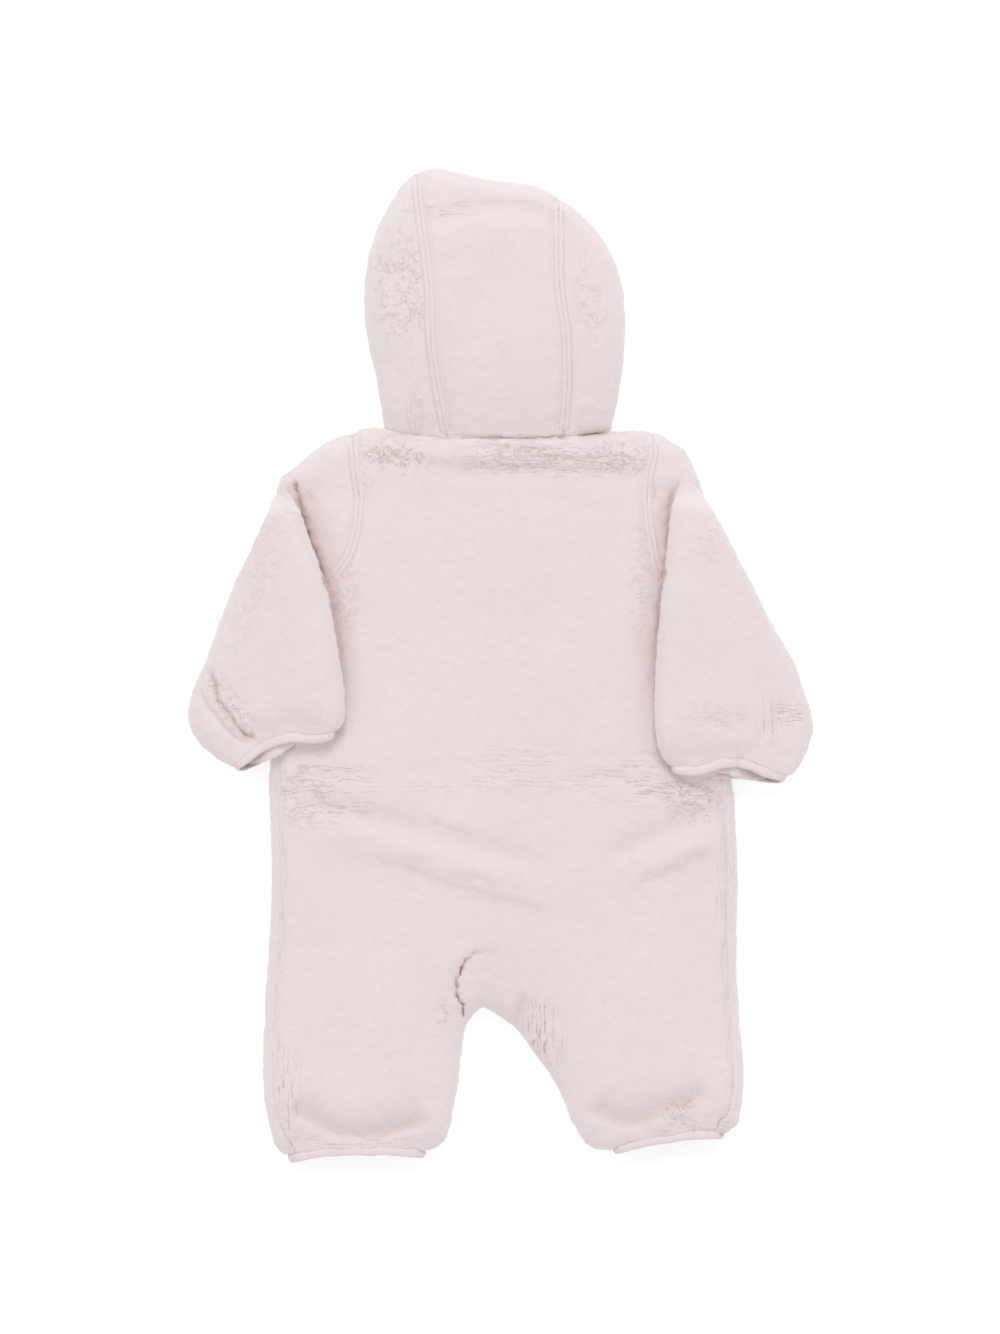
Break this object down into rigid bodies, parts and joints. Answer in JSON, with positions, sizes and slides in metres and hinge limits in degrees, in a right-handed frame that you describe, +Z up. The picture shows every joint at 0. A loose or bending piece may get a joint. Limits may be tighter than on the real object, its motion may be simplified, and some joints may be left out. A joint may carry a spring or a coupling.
{
  "type": "baby's hooded ski suit of pile fleece, laid flat on its front",
  "caption": "Baby's hooded one-piece suit of pile fleece, laid flat on its front with the sleeves folded down over the back.",
  "frame": {"origin": "on the surface it lies on, under the middle of the outline seen from above", "axes": "+Z up out of the surface, through the back; +Y from the hems to the hood; +X to the suit's right side, as its back is up"},
  "size_m": [0.4358, 0.6955, 0.0423],
  "materials": {
    "fleece": "pale pink curly pile fleece",
    "binding": "smooth stretch binding in the same pink",
    "zip_tape": "woven zip tape with a spun coil, pink",
    "zip_metal": "slider and pull, satin paint in the tape's pink"
  },
  "bodies": {
    "suit": {"back": "fleece", "front_left": "fleece", "front_right": "fleece", "leg_front_left": "fleece", "leg_front_right": "fleece", "sleeve_left_head": "fleece", "sleeve_left": "fleece", "sleeve_right_head": "fleece", "sleeve_right": "fleece", "hood_centre": "fleece", "hood_left": "fleece", "hood_right": "fleece", "hood_binding": "binding", "cuff_left_binding": "binding", "cuff_right_binding": "binding", "hem_left_binding": "binding", "hem_right_binding": "binding", "zip_tape_left": "zip_tape", "zip_tape_right": "zip_tape", "zip_slider": "zip_metal"},
    "pull": {"zip_pull": "zip_metal"}
  },
  "joints": [
    {"name": "pull_hinge", "type": "hinge", "parent": "suit", "child": "pull", "pos_m": [-0.002, 0.137, 0.0016], "axis": [1, 0, 0], "range_deg": [0, 150]}
  ]
}
